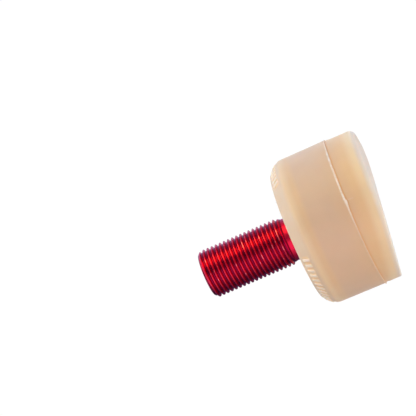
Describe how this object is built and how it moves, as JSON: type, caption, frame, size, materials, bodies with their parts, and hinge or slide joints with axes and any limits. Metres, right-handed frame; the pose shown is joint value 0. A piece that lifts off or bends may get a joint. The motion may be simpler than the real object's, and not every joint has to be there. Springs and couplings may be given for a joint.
{
  "type": "roller skate toe stop",
  "caption": "Round gum rubber toe stop with a raked contact face, moulded round an anchor plate on a threaded aluminium stem that screws into a roller skate plate.",
  "frame": {"origin": "on the stem's axis, in the front plane of the rubber (the plane of its thickest side, before the rake)", "axes": "+Z along the stem, from the rubber to the stem's tip; +X towards the side where the rubber is thickest"},
  "size_m": [0.0485, 0.0484, 0.0602],
  "materials": {
    "gum_rubber": "matte translucent natural gum rubber",
    "red_anodised": "red anodised, cut thread",
    "plated_steel": "zinc plated, hidden in the rubber"
  },
  "bodies": {
    "root": {"rubber_stopper": "gum_rubber", "threaded_stem": "red_anodised", "anchor_plate": "plated_steel"}
  },
  "joints": []
}
